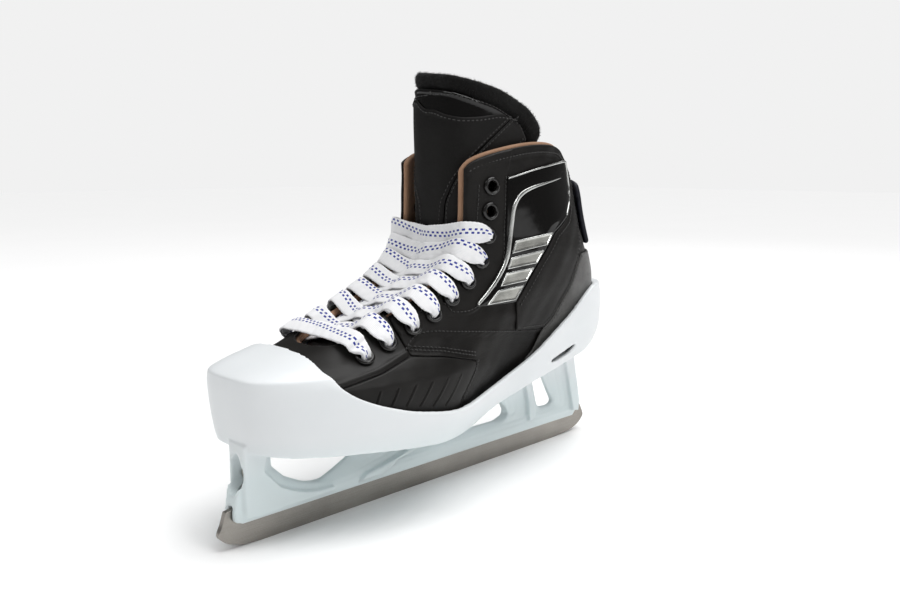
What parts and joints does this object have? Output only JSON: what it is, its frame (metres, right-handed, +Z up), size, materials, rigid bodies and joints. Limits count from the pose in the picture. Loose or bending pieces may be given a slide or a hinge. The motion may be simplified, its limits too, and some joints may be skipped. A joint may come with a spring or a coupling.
{
  "type": "goaltender ice skate",
  "caption": "Left goaltender's ice skate: steel runner in a white moulded cowling round a laced leather boot with a tall felt tongue and a tendon guard.",
  "frame": {"origin": "under the middle of the skate's outer size, on the level of the runner's bottom edge", "axes": "+Z up, +X the wearer's left (the outer side of this left skate), -Y towards the toe, +Y towards the heel"},
  "size_m": [0.0982, 0.2952, 0.2382],
  "materials": {
    "steel": "satin ground stainless steel",
    "zinc_fasteners": "dull zinc plate",
    "white_nylon": "moulded, faintly translucent",
    "composite": "moulded, matt",
    "black_leather": "smooth synthetic leather, soft sheen",
    "gloss_black": "patent, mirror gloss",
    "tan_liner": "soft suede-like microfibre",
    "black_felt": "thick felt",
    "footbed_foam": "knit-faced foam",
    "black_enamel": "gloss black enamel",
    "white_lace": "flat woven cotton with blue tracer dashes",
    "lace_tips": "clear-over-white tip"
  },
  "bodies": {
    "skate": {"runner": "steel", "cowling": "white_nylon", "runner_bolt_front": "zinc_fasteners", "runner_bolt_rear": "zinc_fasteners", "sole_rivet_1": "zinc_fasteners", "sole_rivet_2": "zinc_fasteners", "sole_rivet_3": "zinc_fasteners", "sole_rivet_4": "zinc_fasteners", "sole_rivet_5": "zinc_fasteners", "sole_rivet_6": "zinc_fasteners", "outsole": "composite", "footbed": "footbed_foam", "toe_cap": "composite", "vamp": "black_leather", "side_panel_lateral": "black_leather", "side_panel_medial": "black_leather", "quarter_lateral": "black_leather", "quarter_medial": "black_leather", "gloss_panel_lateral": "gloss_black", "gloss_panel_medial": "gloss_black", "ankle_overlay_lateral": "black_leather", "ankle_overlay_medial": "black_leather", "heel_counter": "black_leather", "liner_lateral": "tan_liner", "liner_medial": "tan_liner", "tongue_face_lower": "black_leather", "tongue_felt_lower": "black_felt", "eyelet_lateral_1": "black_enamel", "eyelet_lateral_2": "black_enamel", "eyelet_lateral_3": "black_enamel", "eyelet_lateral_4": "black_enamel", "eyelet_lateral_5": "black_enamel", "eyelet_lateral_6": "black_enamel", "eyelet_lateral_7": "black_enamel", "eyelet_lateral_8": "black_enamel", "eyelet_lateral_9": "black_enamel", "eyelet_lateral_10": "black_enamel", "eyelet_medial_1": "black_enamel", "eyelet_medial_2": "black_enamel", "eyelet_medial_3": "black_enamel", "eyelet_medial_4": "black_enamel", "eyelet_medial_5": "black_enamel", "eyelet_medial_6": "black_enamel", "eyelet_medial_7": "black_enamel", "eyelet_medial_8": "black_enamel", "eyelet_medial_9": "black_enamel", "eyelet_medial_10": "black_enamel", "lace": "white_lace", "lace_tip_lateral": "lace_tips", "lace_tip_medial": "lace_tips"},
    "tongue_top": {"tongue_face_upper": "black_leather", "tongue_felt_upper": "black_felt"},
    "guard": {"tendon_guard": "black_leather"}
  },
  "joints": [
    {"name": "tongue_flex", "type": "hinge", "parent": "skate", "child": "tongue_top", "pos_m": [-0.00136, -0.00545, 0.172], "axis": [1, 0, 0], "range_deg": [-4, 20]},
    {"name": "guard_flex", "type": "hinge", "parent": "skate", "child": "guard", "pos_m": [-0.00136, 0.12495, 0.138], "axis": [-1, 0, 0], "range_deg": [0, 18], "stiffness_Nm_per_rad": 0.3}
  ]
}
